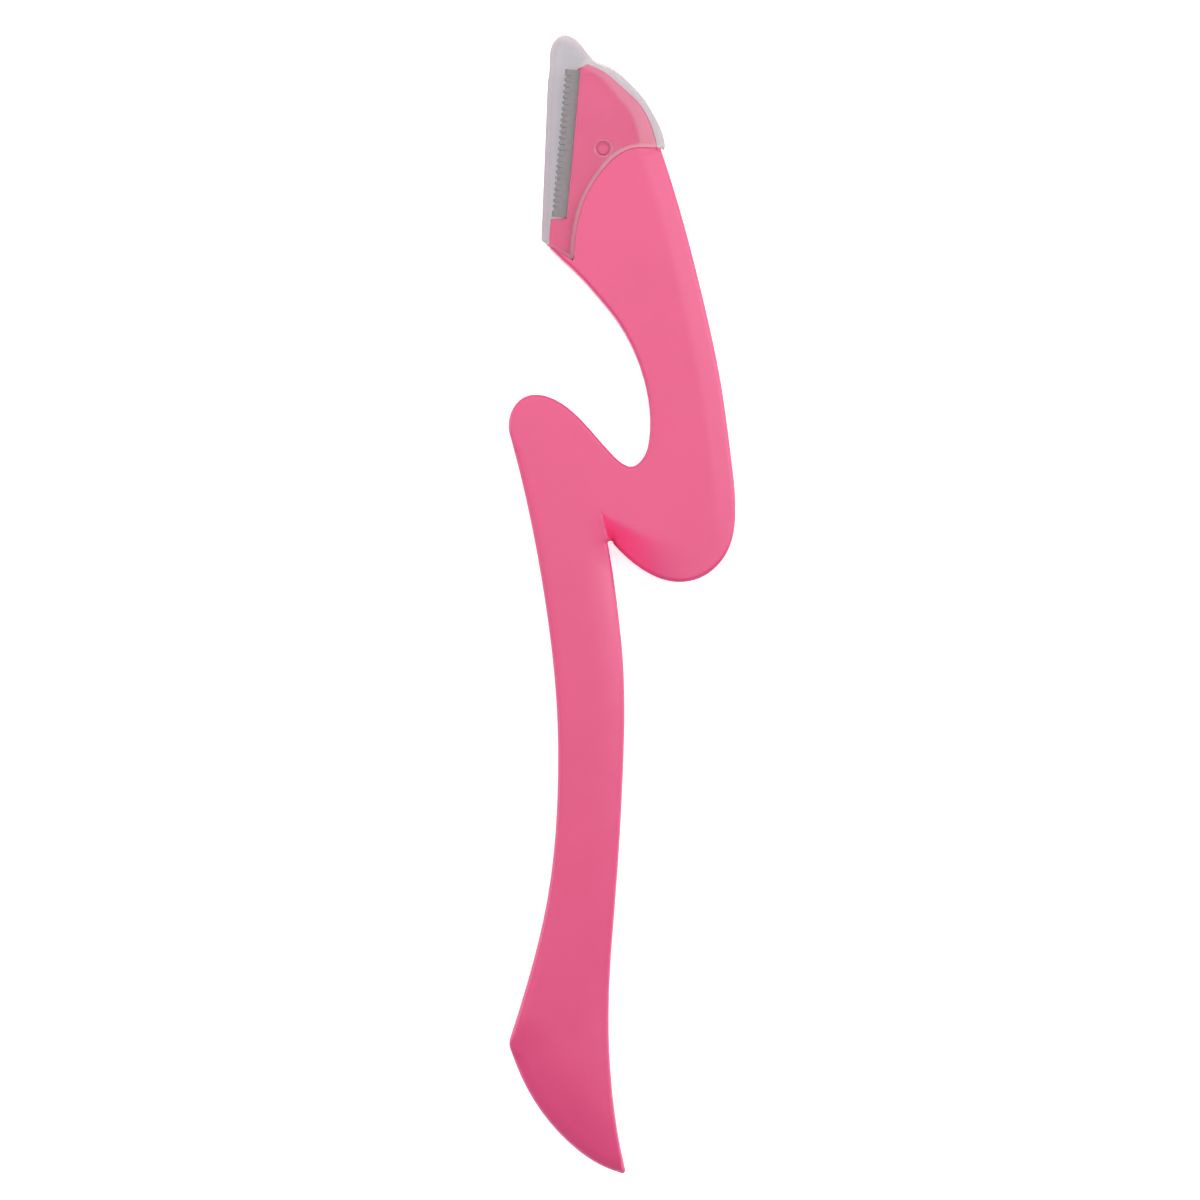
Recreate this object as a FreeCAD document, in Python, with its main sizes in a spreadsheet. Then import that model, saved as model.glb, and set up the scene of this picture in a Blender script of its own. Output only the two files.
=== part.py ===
"""Facial razor with a zigzag handle, a staked blade pack and a slip-on cap. Lengths are in millimetres.

The razor lies on its back: +Y runs along the handle towards the head, +X is away from the cutting
edge, +Z is up through the front face. The origin is the centre of the whole outline, on the surface
that the razor lies on.
"""
import FreeCAD, Part
import os
import Sketcher
from FreeCAD import Placement, Rotation, Vector

doc = FreeCAD.newDocument("facial_razor")

# ---------------------------------------------------------------- driving dimensions (sheet "dims")

DIMENSIONS = {
    # handle
    "half_thickness": 3.2,      # each shell's depth, and the height of the parting plane
    "core_depth": 1.6,          # how far each shell is hollowed out from the parting plane
    "boss_radius": 1.8,         # round bosses where the shells are joined
    "boss_root": 0.3,           # how far a boss runs into the floor of its hollow
    "weld_pin_radius": 0.9,
    "weld_pin_length": 1.1,
    "socket_radius": 0.95,
    "socket_depth": 1.3,
    # head
    "head_half": 1.5,           # half thickness of the carrier and clamp plates together
    "tongue_half": 0.9,         # half thickness of the carrier's tongue
    "tongue_slot": 1.0,         # depth of the tongue's slot in each shell
    "tongue_hole_radius": 1.0,
    "post_root": 0.2,           # how far a post runs into the floor of the tongue's slot
    "plate_gap": 0.1,           # between the head plates and the shells' shoulder
    "tongue_gap": 0.12,         # round the tongue in its slot
    # blade pack
    "blade_angle": 5.3,         # lean of the cutting edge from +Y towards +X, degrees
    "blade_length": 20.0,
    "blade_width": 5.0,
    "blade_thickness": 0.24,
    "grind_width": 0.9,
    "edge_inset": 0.2,          # from the outside of the foil's fold to the cutting edge
    "foil_thickness": 0.12,
    "foil_gap": 0.02,           # between the blade and each leaf of the foil
    "foil_leaf": 3.2,           # width of each leaf of the folded guard foil
    "slot_width": 0.42,
    "slot_pitch": 0.78,
    "slot_depth": 0.95,
    "slot_height": 1.0,         # of the cut, which passes through both leaves
    "slot_count": 24,
    "pack_seat": 0.27,          # depth of the blade pack's seat in each head plate
    "seat_side_gap": 0.06,      # beyond the blade's back
    "seat_end_gap": 0.1,        # beyond the blade's lower end
    "peg_radius": 0.6,
    "peg_hole_radius": 0.7,
    "peg_length": 0.7,          # above the parting plane
    "peg_end_gap": 0.2,
    # head pin
    "pin_radius": 0.8,
    "pin_edge_radius": 0.2,
    "pin_recess_radius": 1.08,
    "pin_recess_depth": 0.22,
    # cap
    "cap_half": 2.6,
    "cap_cavity_half": 1.8,
    "cap_edge_radius": 0.6,
    "dimple_radius": 1.05,
    "dimple_depth": 0.2,
    # any cut that goes right through
    "through": 60.0,
}

sheet = doc.addObject("Spreadsheet::Sheet", "dims")
for row, (alias, value) in enumerate(DIMENSIONS.items(), start=1):
    sheet.set("A%d" % row, alias)
    sheet.set("B%d" % row, str(value))
    sheet.setAlias("B%d" % row, alias)
doc.recompute()


def dim(alias):
    """The value of one cell of the sheet."""
    return float(getattr(sheet, alias))


# ---------------------------------------------------------------- outlines, (x, y) at the parting plane

SHOULDER = [(-6.49, 46.13), (-6.4, 48.0), (-6.0, 51.0), (-5.2, 54.0), (-3.9, 56.6),
            (-2.3, 58.8), (-0.6, 60.4), (1.2, 61.3), (2.2, 61.45)]
SHOULDER_END = (5.2, 61.45)

# Clockwise round the handle from the shoulder's outer end.
LIMB_OUTER = [SHOULDER_END, (8.1, 52.1), (10.95, 41.0), (13.25, 30.2), (14.75, 19.4), (15.25, 11.5),
              (14.5, 7.7), (12.7, 5.0), (10.4, 3.45), (7.8, 2.95), (5.2, 3.4), (2.8, 4.6),
              (0.5, 6.4), (-1.15, 8.1)]
NOTCH = [(-1.15, 8.1), (-1.62, 8.55), (-1.86, 7.9)]
STEM_RIGHT = [(-1.86, 7.9), (-0.7, 0.5), (0.22, -9.0), (0.17, -22.0), (-0.75, -38.0), (-1.72, -52.0),
              (-1.3, -66.0), (0.42, -76.3)]
TAIL_TIP = [(0.42, -76.3), (0.34, -76.72), (-0.12, -76.8)]
TAIL_BELLY = [(-0.12, -76.8), (-4.0, -75.05), (-7.45, -72.35), (-11.85, -66.95), (-14.95, -60.2)]
TAIL_CORNER = [(-14.95, -60.2), (-15.18, -59.35), (-15.08, -58.5)]
STEM_LEFT = [(-15.08, -58.5), (-12.7, -50.8), (-10.1, -39.9), (-8.72, -26.0), (-8.87, -13.0),
             (-10.4, 0.5), (-12.35, 11.4), (-14.95, 22.2)]
CREST = [(-14.95, 22.2), (-15.28, 24.1), (-14.6, 26.5), (-13.0, 27.95), (-11.3, 28.2), (-8.95, 27.5),
         (-5.6, 24.9), (-3.1, 22.1), (-1.0, 19.8), (1.35, 18.5), (2.95, 19.85), (3.65, 22.1),
         (3.78, 25.0), (2.97, 30.2), (1.45, 34.4), (-0.8, 38.3), (-3.25, 41.35), (-6.55, 44.95),
         (-8.2, 46.45), (-9.35, 47.6)]
HEEL = [(-9.35, 47.6), (-9.65, 47.88), (-9.8, 48.2)]    # the handle's corner under the head's chin
HANDLE_OUTLINE = [LIMB_OUTER, NOTCH, STEM_RIGHT, TAIL_TIP, TAIL_BELLY, TAIL_CORNER, STEM_LEFT, CREST,
                  HEEL, [HEEL[-1], SHOULDER[0]], SHOULDER, [SHOULDER[-1], SHOULDER_END]]

# How far the front and back fall away from their flats, (y, depth), at the tail and at the neck.
TAIL_TAPER = [(-79.0, 1.0), (-70.0, 0.3), (-60.0, 0.0)]
NECK_TAPER = [(32.0, 0.0), (48.0, 0.3), (64.0, 0.9)]

# Hollows that both shells share, each one a closed polygon, with ribs left between them.
CORES = [
    [(-12.3, -56.0), (-3.4, -56.0), (-2.4, -42.0), (-1.8, -27.0), (-7.1, -27.0), (-8.3, -40.0)],
    [(-7.1, -25.4), (-1.5, -25.4), (-1.4, -10.0), (-2.3, 0.0), (-8.6, 0.0), (-7.3, -13.0)],
    [(-8.9, 1.6), (-2.6, 1.6), (-3.7, 8.5), (-4.6, 14.0), (-10.9, 14.0)],
    [(-11.3, 15.6), (-5.0, 15.6), (-4.6, 18.6), (-7.0, 22.6), (-10.4, 25.8), (-13.2, 25.0), (-13.3, 22.4)],
    [(5.0, 7.6), (10.4, 5.6), (13.1, 9.6), (13.1, 16.4), (5.6, 16.4)],
    [(5.5, 18.0), (13.0, 18.0), (11.6, 30.2), (5.0, 30.2), (5.7, 25.0)],
    [(4.4, 31.8), (11.2, 31.8), (9.5, 39.6), (1.4, 39.6), (3.4, 36.0)],
]
WELD_POINTS = [(-7.6, -49.0), (-4.5, -18.0), (-6.2, 7.6), (-9.4, 21.2), (9.4, 11.0), (9.0, 24.6), (7.0, 35.6)]

# Front face of the lower lobe, cut down where it passes behind the stem.
CREASE_TOP = Vector(-2.75, 12.7, 6.45)
CREASE_OUTER = Vector(12.0, 3.6, 6.1)
CREASE_NOTCH = Vector(-1.6, 8.5, 4.2)
CREASE_PLAN = [(-2.75, 12.7), (-1.65, 8.4), (-1.0, 6.5), (0.5, 2.0), (13.0, -1.0), (12.0, 3.6)]

# Head plates. Their left edge stands back from the blade's guarded edge, over a solid chin.
HEAD_BACK = [(4.75, 61.55), (4.0, 64.4), (2.4, 67.4), (0.15, 69.6), (-2.3, 71.7), (-3.9, 72.5),
             (-4.75, 72.8)]
HEAD_RISE = 0.2                        # how far the head's top stands past the blade's upper end
CHIN = [(-9.62, 51.9), (-9.87, 49.2)]
BLADE_FOOT = Vector(-9.5, 52.3, 0)     # lower end of the guard foil's fold
CLAMP_REVEAL = 2.05                    # width of the blade pack left uncovered by the clamp
CARRIER_REVEAL = 1.6                   # and by the carrier
TONGUE = [(-5.6, 55.6), (-1.2, 43.4), (6.9, 45.4), (4.4, 60.4), (2.8, 62.6), (-1.2, 62.2)]
TONGUE_PINS = [(1.1, 49.0), (2.6, 54.6)]
PIN_PLACE = (-2.55, 61.3)
PEG_STATIONS = (6.5, 16.5)             # along the blade from its lower end
PEG_INSET = 4.15                       # from the fold
BLADE_CORNER = [(2.9, 0), (5.1, 5.6)]  # (across, along): the blade's lower corner is cut off along this

# Cap: its mouth runs along the shoulder, a small gap away, and round the chin.
CAP_HEM = [(-6.85, 46.65), (-6.62, 48.7), (-6.2, 51.2), (-5.4, 54.2), (-4.1, 56.85), (-2.5, 59.05),
           (-0.8, 60.65), (1.1, 61.55), (2.1, 61.7)]
CAP_HEM_END = (5.8, 61.7)
CAP_CROWN = [CAP_HEM_END, (5.28, 64.0), (4.2, 66.15), (2.85, 68.3), (0.8, 70.5), (-2.15, 72.6),
             (-3.55, 73.15), (-4.25, 73.8), (-6.0, 75.95), (-7.85, 76.85), (-9.1, 76.0), (-9.75, 73.5),
             (-10.0, 70.6)]
CAP_CORNER = (-10.87, 49.15)
CAVITY_CROWN = [(5.25, 59.0), (5.15, 61.7), (4.68, 63.9), (3.8, 65.9), (2.68, 67.7), (0.7, 69.8),
               (-2.3, 72.0), (-4.1, 72.9), (-6.2, 75.2), (-7.85, 76.05), (-8.75, 75.5), (-9.2, 73.2),
               (-9.4, 70.5)]
CAVITY_FOOT = (-10.4, 45.5)
CAVITY_MOUTH = (-5.0, 44.0)            # beyond the mouth, so that the cavity is open there

CLEAR = 2.0                            # how far a cutting outline stands outside what it cuts


# ---------------------------------------------------------------- helpers

def new_body(label):
    body = doc.addObject("PartDesign::Body", label)
    body.Label = label
    return body


def new_sketch(body, name, role, placement=Placement()):
    """A sketch on one of the body's own origin planes, moved by placement."""
    plane = [feature for feature in body.Origin.OriginFeatures if feature.Role == role][0]
    sketch = body.newObject("Sketcher::SketchObject", name)
    sketch.AttachmentSupport = (plane, [""])
    sketch.MapMode = "FlatFace"
    sketch.AttachmentOffset = placement
    return sketch


def at_height(z):
    return Placement(Vector(0, 0, z), Rotation())


def as_vector(point):
    return Vector(point[0], point[1], 0)


def add_loop(sketch, runs):
    """A closed loop of runs: two points make a line, three an arc, more a smooth curve through them."""
    for run in runs:
        points = [as_vector(p) for p in run]
        if len(points) == 2:
            sketch.addGeometry(Part.LineSegment(*points), False)
        elif len(points) == 3:
            sketch.addGeometry(Part.Arc(*points), False)
        else:
            curve = Part.BSplineCurve()
            curve.interpolate(points)
            sketch.addGeometry(curve, False)


def add_polygon(sketch, points):
    add_loop(sketch, [[points[i], points[(i + 1) % len(points)]] for i in range(len(points))])


def add_circle(sketch, centre, alias):
    """A circle whose radius is the named cell of the sheet."""
    index = sketch.addGeometry(Part.Circle(as_vector(centre), Vector(0, 0, 1), dim(alias)), False)
    number = sketch.addConstraint(Sketcher.Constraint("Radius", index, dim(alias)))
    sketch.setExpression("Constraints[%d]" % number, "dims.%s" % alias)


def feature(body, kind, name, sketch, length, reversed_=False, midplane=False):
    """A Pad or Pocket of a sketch. length is an expression over the sheet."""
    made = body.newObject("PartDesign::" + kind, name)
    made.Profile = sketch
    made.setExpression("Length", length)
    made.Reversed = reversed_
    if midplane:
        made.Midplane = True
    sketch.Visibility = False
    doc.recompute()
    return made


def pad(body, name, sketch, length, reversed_=False, midplane=False):
    return feature(body, "Pad", name, sketch, length, reversed_, midplane)


def pocket(body, name, sketch, length, reversed_=False, midplane=False):
    before = body.Shape.Volume
    made = feature(body, "Pocket", name, sketch, length, reversed_, midplane)
    if not body.Shape.Volume < before - 1e-4:
        raise RuntimeError("%s cuts nothing" % name)
    return made


def round_edges(body, name, alias, wanted):
    """Fillets the edges that wanted(edge) picks."""
    base = body.Tip
    edges = ["Edge%d" % (i + 1) for i, edge in enumerate(base.Shape.Edges) if wanted(edge)]
    fillet = body.newObject("PartDesign::Fillet", name)
    fillet.Base = (base, edges)
    fillet.setExpression("Radius", "dims.%s" % alias)
    doc.recompute()


def grown(points, amount):
    """A convex polygon moved outwards by amount."""
    wire = Part.makePolygon([as_vector(p) for p in points] + [as_vector(points[0])])
    bigger = wire.makeOffset2D(amount, 2)
    return [(v.X, v.Y) for v in bigger.OrderedVertexes]


def blade_placement():
    """The blade pack's own frame: x across from the fold, y along the edge, z up from the parting plane."""
    base = Vector(BLADE_FOOT.x, BLADE_FOOT.y, dim("half_thickness"))
    return Placement(base, Rotation(Vector(0, 0, 1), -dim("blade_angle")))


def in_pack(across, along):
    """A point of the blade pack, (x, y) in the razor's frame."""
    point = blade_placement().multVec(Vector(across, along, 0))
    return (point.x, point.y)


# ---------------------------------------------------------------- handle shells

def taper_loops(front):
    """Closed side-view loops, (y, z), of what the tapers take off one face of the handle."""
    loops = []
    for taper in (TAIL_TAPER, NECK_TAPER):
        if front:
            edge = [(y, 2 * dim("half_thickness") - depth) for y, depth in taper]
            clear = 2 * dim("half_thickness") + CLEAR
        else:
            edge = taper
            clear = -CLEAR
        far, near = (edge[-1][0], clear), (edge[0][0], clear)
        loops.append([edge, [edge[-1], far], [far, near], [near, edge[0]]])
    return loops


def cut_crease(body, label):
    """Takes the lower lobe's front down, along a plane that falls away from the stem's edge."""
    normal = (CREASE_OUTER - CREASE_TOP).cross(CREASE_NOTCH - CREASE_TOP)
    if normal.z < 0:
        normal = normal * -1
    plane = Placement(CREASE_TOP, Rotation(Vector(0, 0, 1), normal))
    into_plane = plane.inverse()
    corners = []
    for x, y in CREASE_PLAN:
        drop = (normal.x * (x - CREASE_TOP.x) + normal.y * (y - CREASE_TOP.y)) / normal.z
        corner = into_plane.multVec(Vector(x, y, CREASE_TOP.z - drop))
        corners.append((corner.x, corner.y))
    sketch = new_sketch(body, label + "_crease", "XY_Plane", plane)
    add_polygon(sketch, corners)
    before = body.Shape.Volume
    made = body.newObject("PartDesign::Pocket", label + "_crease_cut")
    made.Profile = sketch
    made.setExpression("Length", "3 * dims.half_thickness")
    made.UseCustomVector = True
    made.Direction = Vector(0, 0, 1)
    made.Reversed = True
    doc.recompute()
    if not body.Shape.Volume < before - 1:
        raise RuntimeError("%s cuts nothing: %s" % (made.Name, made.State))


def shell(label, front):
    """One half of the handle. The front one carries the weld pins and the rear one their sockets."""
    body = new_body(label)
    middle = dim("half_thickness")
    outline = new_sketch(body, label + "_outline", "XY_Plane", at_height(middle))
    add_loop(outline, HANDLE_OUTLINE)
    pad(body, label + "_block", outline, "dims.half_thickness", reversed_=not front)

    side = new_sketch(body, label + "_side", "YZ_Plane")
    for loop in taper_loops(front):
        add_loop(side, loop)
    pocket(body, label + "_taper", side, "dims.through", midplane=True)

    if front:
        cut_crease(body, label)

    cores = new_sketch(body, label + "_cores", "XY_Plane", at_height(middle))
    for core in CORES:
        add_polygon(cores, core)
    pocket(body, label + "_hollow", cores, "dims.core_depth", reversed_=front)

    bosses = new_sketch(body, label + "_bosses", "XY_Plane", at_height(middle))
    for point in WELD_POINTS:
        add_circle(bosses, point, "boss_radius")
    pad(body, label + "_boss_pad", bosses, "dims.core_depth + dims.boss_root", reversed_=not front)

    slot = new_sketch(body, label + "_tongue_slot", "XY_Plane", at_height(middle))
    add_polygon(slot, grown(TONGUE, dim("tongue_gap")))
    pocket(body, label + "_slot", slot, "dims.tongue_slot", reversed_=front)

    posts = new_sketch(body, label + "_posts", "XY_Plane", at_height(middle))
    for point in TONGUE_PINS:
        add_circle(posts, point, "weld_pin_radius")
    pad(body, label + "_post_pad", posts, "dims.tongue_slot + dims.post_root", reversed_=not front)

    pins = new_sketch(body, label + "_pins", "XY_Plane", at_height(middle))
    if front:
        for point in WELD_POINTS:
            add_circle(pins, point, "weld_pin_radius")
        pad(body, label + "_pin_pad", pins, "dims.weld_pin_length", reversed_=True)
    else:
        for point in WELD_POINTS:
            add_circle(pins, point, "socket_radius")
        pocket(body, label + "_sockets", pins, "dims.socket_depth")
    return body


# ---------------------------------------------------------------- head plates, pin and blade pack

def head_outline(reveal, gap):
    """The head's outline, with its edge beside the blade set back by reveal from the guard's fold."""
    corner = (SHOULDER[0][0] - gap, SHOULDER[0][1] + 2 * gap)
    foot = [corner] + [(x - gap, y + gap) for x, y in SHOULDER[1:]]
    heel = (HEEL[-1][0], HEEL[-1][1] + 1.2 * gap)
    back = [(HEAD_BACK[0][0], foot[-1][1])] + HEAD_BACK[1:]
    upper = in_pack(reveal, dim("blade_length") + HEAD_RISE)
    lower = in_pack(reveal, -dim("seat_end_gap"))
    return [foot, [foot[-1], back[0]], back, [back[-1], upper], [upper, lower], [lower, CHIN[0]],
            CHIN, [CHIN[1], heel], [heel, corner]]


def seat_corners():
    """The blade pack's seat, open past the guard's fold and past the pack's upper end."""
    low = -dim("seat_end_gap")
    high = dim("blade_length") + CLEAR
    inner = dim("blade_width") + dim("seat_side_gap")
    return [in_pack(-CLEAR, low), in_pack(-CLEAR, high), in_pack(inner, high), in_pack(inner, low)]


def add_pin_hole(body, label, rear):
    """The pin's hole right through a plate, and the shallow recess round its end."""
    middle = dim("half_thickness")
    hole = new_sketch(body, label + "_pin_hole", "XY_Plane", at_height(middle))
    add_circle(hole, PIN_PLACE, "pin_radius")
    pocket(body, label + "_pin_bore", hole, "dims.through", midplane=True)
    face = middle - dim("head_half") if rear else middle + dim("head_half")
    recess = new_sketch(body, label + "_recess", "XY_Plane", at_height(face))
    add_circle(recess, PIN_PLACE, "pin_recess_radius")
    pocket(body, label + "_recess_cut", recess, "dims.pin_recess_depth", reversed_=rear)


def head_carrier():
    """The rear plate of the head, with the tongue that the shells hold and the pegs for the blade."""
    label = "head_carrier"
    body = new_body(label)
    middle = dim("half_thickness")
    plate = new_sketch(body, label + "_outline", "XY_Plane", at_height(middle))
    add_loop(plate, head_outline(CARRIER_REVEAL, dim("plate_gap")))
    pad(body, label + "_plate", plate, "dims.head_half", reversed_=True)

    tongue = new_sketch(body, label + "_tongue", "XY_Plane", at_height(middle))
    add_polygon(tongue, TONGUE)
    pad(body, label + "_tongue_pad", tongue, "2 * dims.tongue_half", midplane=True)
    bed = new_sketch(body, label + "_bed", "XY_Plane", at_height(middle))
    add_loop(bed, head_outline(CLAMP_REVEAL, dim("plate_gap")))
    pocket(body, label + "_bed_cut", bed, "dims.head_half", reversed_=True)
    holes = new_sketch(body, label + "_tongue_holes", "XY_Plane", at_height(middle))
    for point in TONGUE_PINS:
        add_circle(holes, point, "tongue_hole_radius")
    pocket(body, label + "_tongue_bores", holes, "4 * dims.tongue_half", midplane=True)

    seat = new_sketch(body, label + "_seat", "XY_Plane", at_height(middle))
    add_polygon(seat, seat_corners())
    pocket(body, label + "_seat_cut", seat, "dims.pack_seat")
    pegs = new_sketch(body, label + "_pegs", "XY_Plane", at_height(middle - dim("head_half") / 2))
    for station in PEG_STATIONS:
        add_circle(pegs, in_pack(PEG_INSET, station), "peg_radius")
    pad(body, label + "_peg_pad", pegs, "dims.head_half / 2 + dims.peg_length")
    add_pin_hole(body, label, rear=True)
    return body


def head_clamp():
    """The front plate of the head, which holds the blade pack down on the carrier's pegs."""
    label = "head_clamp"
    body = new_body(label)
    middle = dim("half_thickness")
    plate = new_sketch(body, label + "_outline", "XY_Plane", at_height(middle))
    add_loop(plate, head_outline(CLAMP_REVEAL, 2 * dim("plate_gap")))
    pad(body, label + "_plate", plate, "dims.head_half")
    seat = new_sketch(body, label + "_seat", "XY_Plane", at_height(middle))
    add_polygon(seat, seat_corners())
    pocket(body, label + "_seat_cut", seat, "dims.pack_seat", reversed_=True)
    sockets = new_sketch(body, label + "_sockets", "XY_Plane", at_height(middle))
    for station in PEG_STATIONS:
        add_circle(sockets, in_pack(PEG_INSET, station), "peg_hole_radius")
    pocket(body, label + "_socket_cut", sockets, "dims.peg_length + dims.peg_end_gap", reversed_=True)
    add_pin_hole(body, label, rear=False)
    return body


def head_pin():
    """The round pin that stakes the two plates together."""
    label = "head_pin"
    body = new_body(label)
    low = dim("half_thickness") - dim("head_half")
    circle = new_sketch(body, label + "_circle", "XY_Plane", at_height(low))
    add_circle(circle, PIN_PLACE, "pin_radius")
    pad(body, label + "_shank", circle, "2 * dims.head_half")
    round_edges(body, label + "_rounding", "pin_edge_radius", lambda edge: edge.BoundBox.ZLength < 0.01)
    return body


def blade():
    """The blade, drawn in section across its edge and run along it, with two locating holes."""
    label = "blade"
    body = new_body(label)
    half = dim("blade_thickness") / 2
    tip = dim("edge_inset")
    shoulder = tip + dim("grind_width")
    section = new_sketch(body, label + "_section", "XZ_Plane")
    add_polygon(section, [(tip, 0), (shoulder, half), (dim("blade_width"), half),
                          (dim("blade_width"), -half), (shoulder, -half)])
    pad(body, label + "_strip", section, "dims.blade_length", reversed_=True)
    holes = new_sketch(body, label + "_holes", "XY_Plane")
    for station in PEG_STATIONS:
        add_circle(holes, (PEG_INSET, station), "peg_hole_radius")
    low, high = BLADE_CORNER
    side, end = high[0] + CLEAR, -CLEAR
    add_polygon(holes, [low, high, (side, high[1]), (side, end), (low[0], end)])
    pocket(body, label + "_bores", holes, "4 * dims.blade_thickness", midplane=True)
    body.Placement = blade_placement()
    return body


def guard_comb():
    """The foil folded round the cutting edge, with slots across its fold."""
    label = "guard_comb"
    body = new_body(label)
    inner = dim("blade_thickness") / 2 + dim("foil_gap")
    outer = inner + dim("foil_thickness")
    leaf = dim("foil_leaf")
    section = new_sketch(body, label + "_section", "XZ_Plane")
    add_loop(section, [[(leaf, outer), (outer, outer)], [(outer, outer), (0, 0), (outer, -outer)],
                       [(outer, -outer), (leaf, -outer)], [(leaf, -outer), (leaf, -inner)],
                       [(leaf, -inner), (outer, -inner)], [(outer, -inner), (outer - inner, 0), (outer, inner)],
                       [(outer, inner), (leaf, inner)], [(leaf, inner), (leaf, outer)]])
    pad(body, label + "_foil", section, "dims.blade_length", reversed_=True)

    count = int(dim("slot_count"))
    spread = dim("slot_pitch") * (count - 1)
    first = (dim("blade_length") - spread - dim("slot_width")) / 2
    slot = new_sketch(body, label + "_slot", "XY_Plane")
    depth = dim("slot_depth")
    last = first + dim("slot_width")
    add_polygon(slot, [(-CLEAR, first), (depth, first), (depth, last), (-CLEAR, last)])
    cut = pocket(body, label + "_slot_cut", slot, "dims.slot_height", midplane=True)
    row = body.newObject("PartDesign::LinearPattern", label + "_slots")
    row.Originals = [cut]
    row.Direction = (slot, ["V_Axis"])
    row.setExpression("Length", "dims.slot_pitch * (dims.slot_count - 1)")
    row.Occurrences = count
    body.Tip = row
    body.Placement = blade_placement()
    doc.recompute()
    return body


# ---------------------------------------------------------------- cap

def cap():
    """The thin-walled cap, open along its mouth and closed everywhere else."""
    label = "cap"
    body = new_body(label)
    middle = dim("half_thickness")
    outline = new_sketch(body, label + "_outline", "XY_Plane", at_height(middle))
    add_loop(outline, [CAP_HEM, [CAP_HEM[-1], CAP_HEM_END], CAP_CROWN,
                       [CAP_CROWN[-1], CAP_CORNER], [CAP_CORNER, CAP_HEM[0]]])
    pad(body, label + "_block", outline, "2 * dims.cap_half", midplane=True)

    def rim(edge):
        midpoint = edge.valueAt(0.5 * (edge.FirstParameter + edge.LastParameter))
        level = edge.BoundBox.ZLength < 0.01
        return level and mouth_distance(midpoint) > 0.1

    round_edges(body, label + "_rounding", "cap_edge_radius", rim)
    cavity = new_sketch(body, label + "_cavity", "XY_Plane", at_height(middle))
    add_loop(cavity, [CAVITY_CROWN, [CAVITY_CROWN[-1], CAVITY_FOOT], [CAVITY_FOOT, CAVITY_MOUTH],
                      [CAVITY_MOUTH, CAVITY_CROWN[0]]])
    pocket(body, label + "_cavity_cut", cavity, "2 * dims.cap_cavity_half", midplane=True)
    dimple = new_sketch(body, label + "_dimple", "XY_Plane", at_height(middle + dim("cap_half")))
    add_circle(dimple, PIN_PLACE, "dimple_radius")
    pocket(body, label + "_dimple_cut", dimple, "dims.dimple_depth")
    return body


def mouth_distance(point):
    """How far a point is, in plan, from the cap's mouth, whose edges stay sharp."""
    curve = Part.BSplineCurve()
    curve.interpolate([as_vector(p) for p in CAP_HEM])
    lines = [Part.makePolygon([as_vector(CAP_HEM[-1]), as_vector(CAP_HEM_END)]),
             Part.makePolygon([as_vector(CAP_HEM[0]), as_vector(CAP_CORNER)])]
    vertex = Part.Vertex(point.x, point.y, 0)
    return min(vertex.distToShape(shape)[0] for shape in [curve.toShape()] + lines)


# ---------------------------------------------------------------- build, check and write

bodies = [
    shell("handle_front_shell", True),
    shell("handle_rear_shell", False),
    head_carrier(),
    head_clamp(),
    head_pin(),
    blade(),
    guard_comb(),
    cap(),
]
doc.recompute()

for obj in doc.Objects:
    if "Invalid" in obj.State or "Error" in obj.State:
        raise RuntimeError("%s failed: %s" % (obj.Name, obj.getStatusString()))
for body in bodies:
    shape = body.Shape
    if shape.isNull() or not shape.isValid() or len(shape.Solids) != 1:
        raise RuntimeError("%s has no single valid solid" % body.Label)

os.makedirs("parts", exist_ok=True)
for body in bodies:
    body.Shape.exportStep("parts/%s.step" % body.Label)
    print("%-20s %8.1f mm3" % (body.Label, body.Shape.Volume))
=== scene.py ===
"""The facial razor's looks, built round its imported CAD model.

The two handle shells, the front head plate and the cap are rebuilt as fine meshes on the
outlines of their CAD nodes. The other nodes stay as they are and get their materials here.
Lengths are in millimetres until a mesh is made, and x, y, z are the CAD axes: y towards the
head, z out of the front.
"""
import math

import bmesh
import bpy
import numpy as np
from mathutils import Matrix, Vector, geometry, kdtree


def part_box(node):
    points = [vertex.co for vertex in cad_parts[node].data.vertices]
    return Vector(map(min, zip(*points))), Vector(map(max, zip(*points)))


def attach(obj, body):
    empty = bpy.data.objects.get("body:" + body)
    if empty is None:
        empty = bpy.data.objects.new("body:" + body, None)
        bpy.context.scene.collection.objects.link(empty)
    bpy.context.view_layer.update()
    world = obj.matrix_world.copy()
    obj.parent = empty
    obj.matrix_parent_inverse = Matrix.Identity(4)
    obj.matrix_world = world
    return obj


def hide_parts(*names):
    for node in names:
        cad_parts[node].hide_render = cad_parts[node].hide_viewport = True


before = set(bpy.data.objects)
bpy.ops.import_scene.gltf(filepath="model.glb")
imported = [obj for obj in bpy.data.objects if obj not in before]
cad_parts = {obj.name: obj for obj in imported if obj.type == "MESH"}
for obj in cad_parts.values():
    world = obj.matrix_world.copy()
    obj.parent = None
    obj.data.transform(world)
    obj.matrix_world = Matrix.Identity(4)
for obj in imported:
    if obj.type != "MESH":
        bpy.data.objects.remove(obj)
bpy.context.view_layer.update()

MM = 0.001
TINY = 1e-9                    # keeps divisions off zero


def box_mm(node):
    low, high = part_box(node)
    return np.array(low) / MM, np.array(high) / MM


FRONT_TOP = box_mm("handle_front_shell")[1][2]
MIDDLE = box_mm("handle_rear_shell")[1][2]       # height of the parting plane
CAP_LOW, CAP_HIGH = box_mm("cap")
PLATE_TOP = box_mm("head_clamp")[1][2]
PIN_LOW, PIN_HIGH = box_mm("head_pin")
PIN_PLACE = (PIN_LOW[:2] + PIN_HIGH[:2]) / 2


# ---------------------------------------------------------------- outlines, read from the CAD

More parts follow.
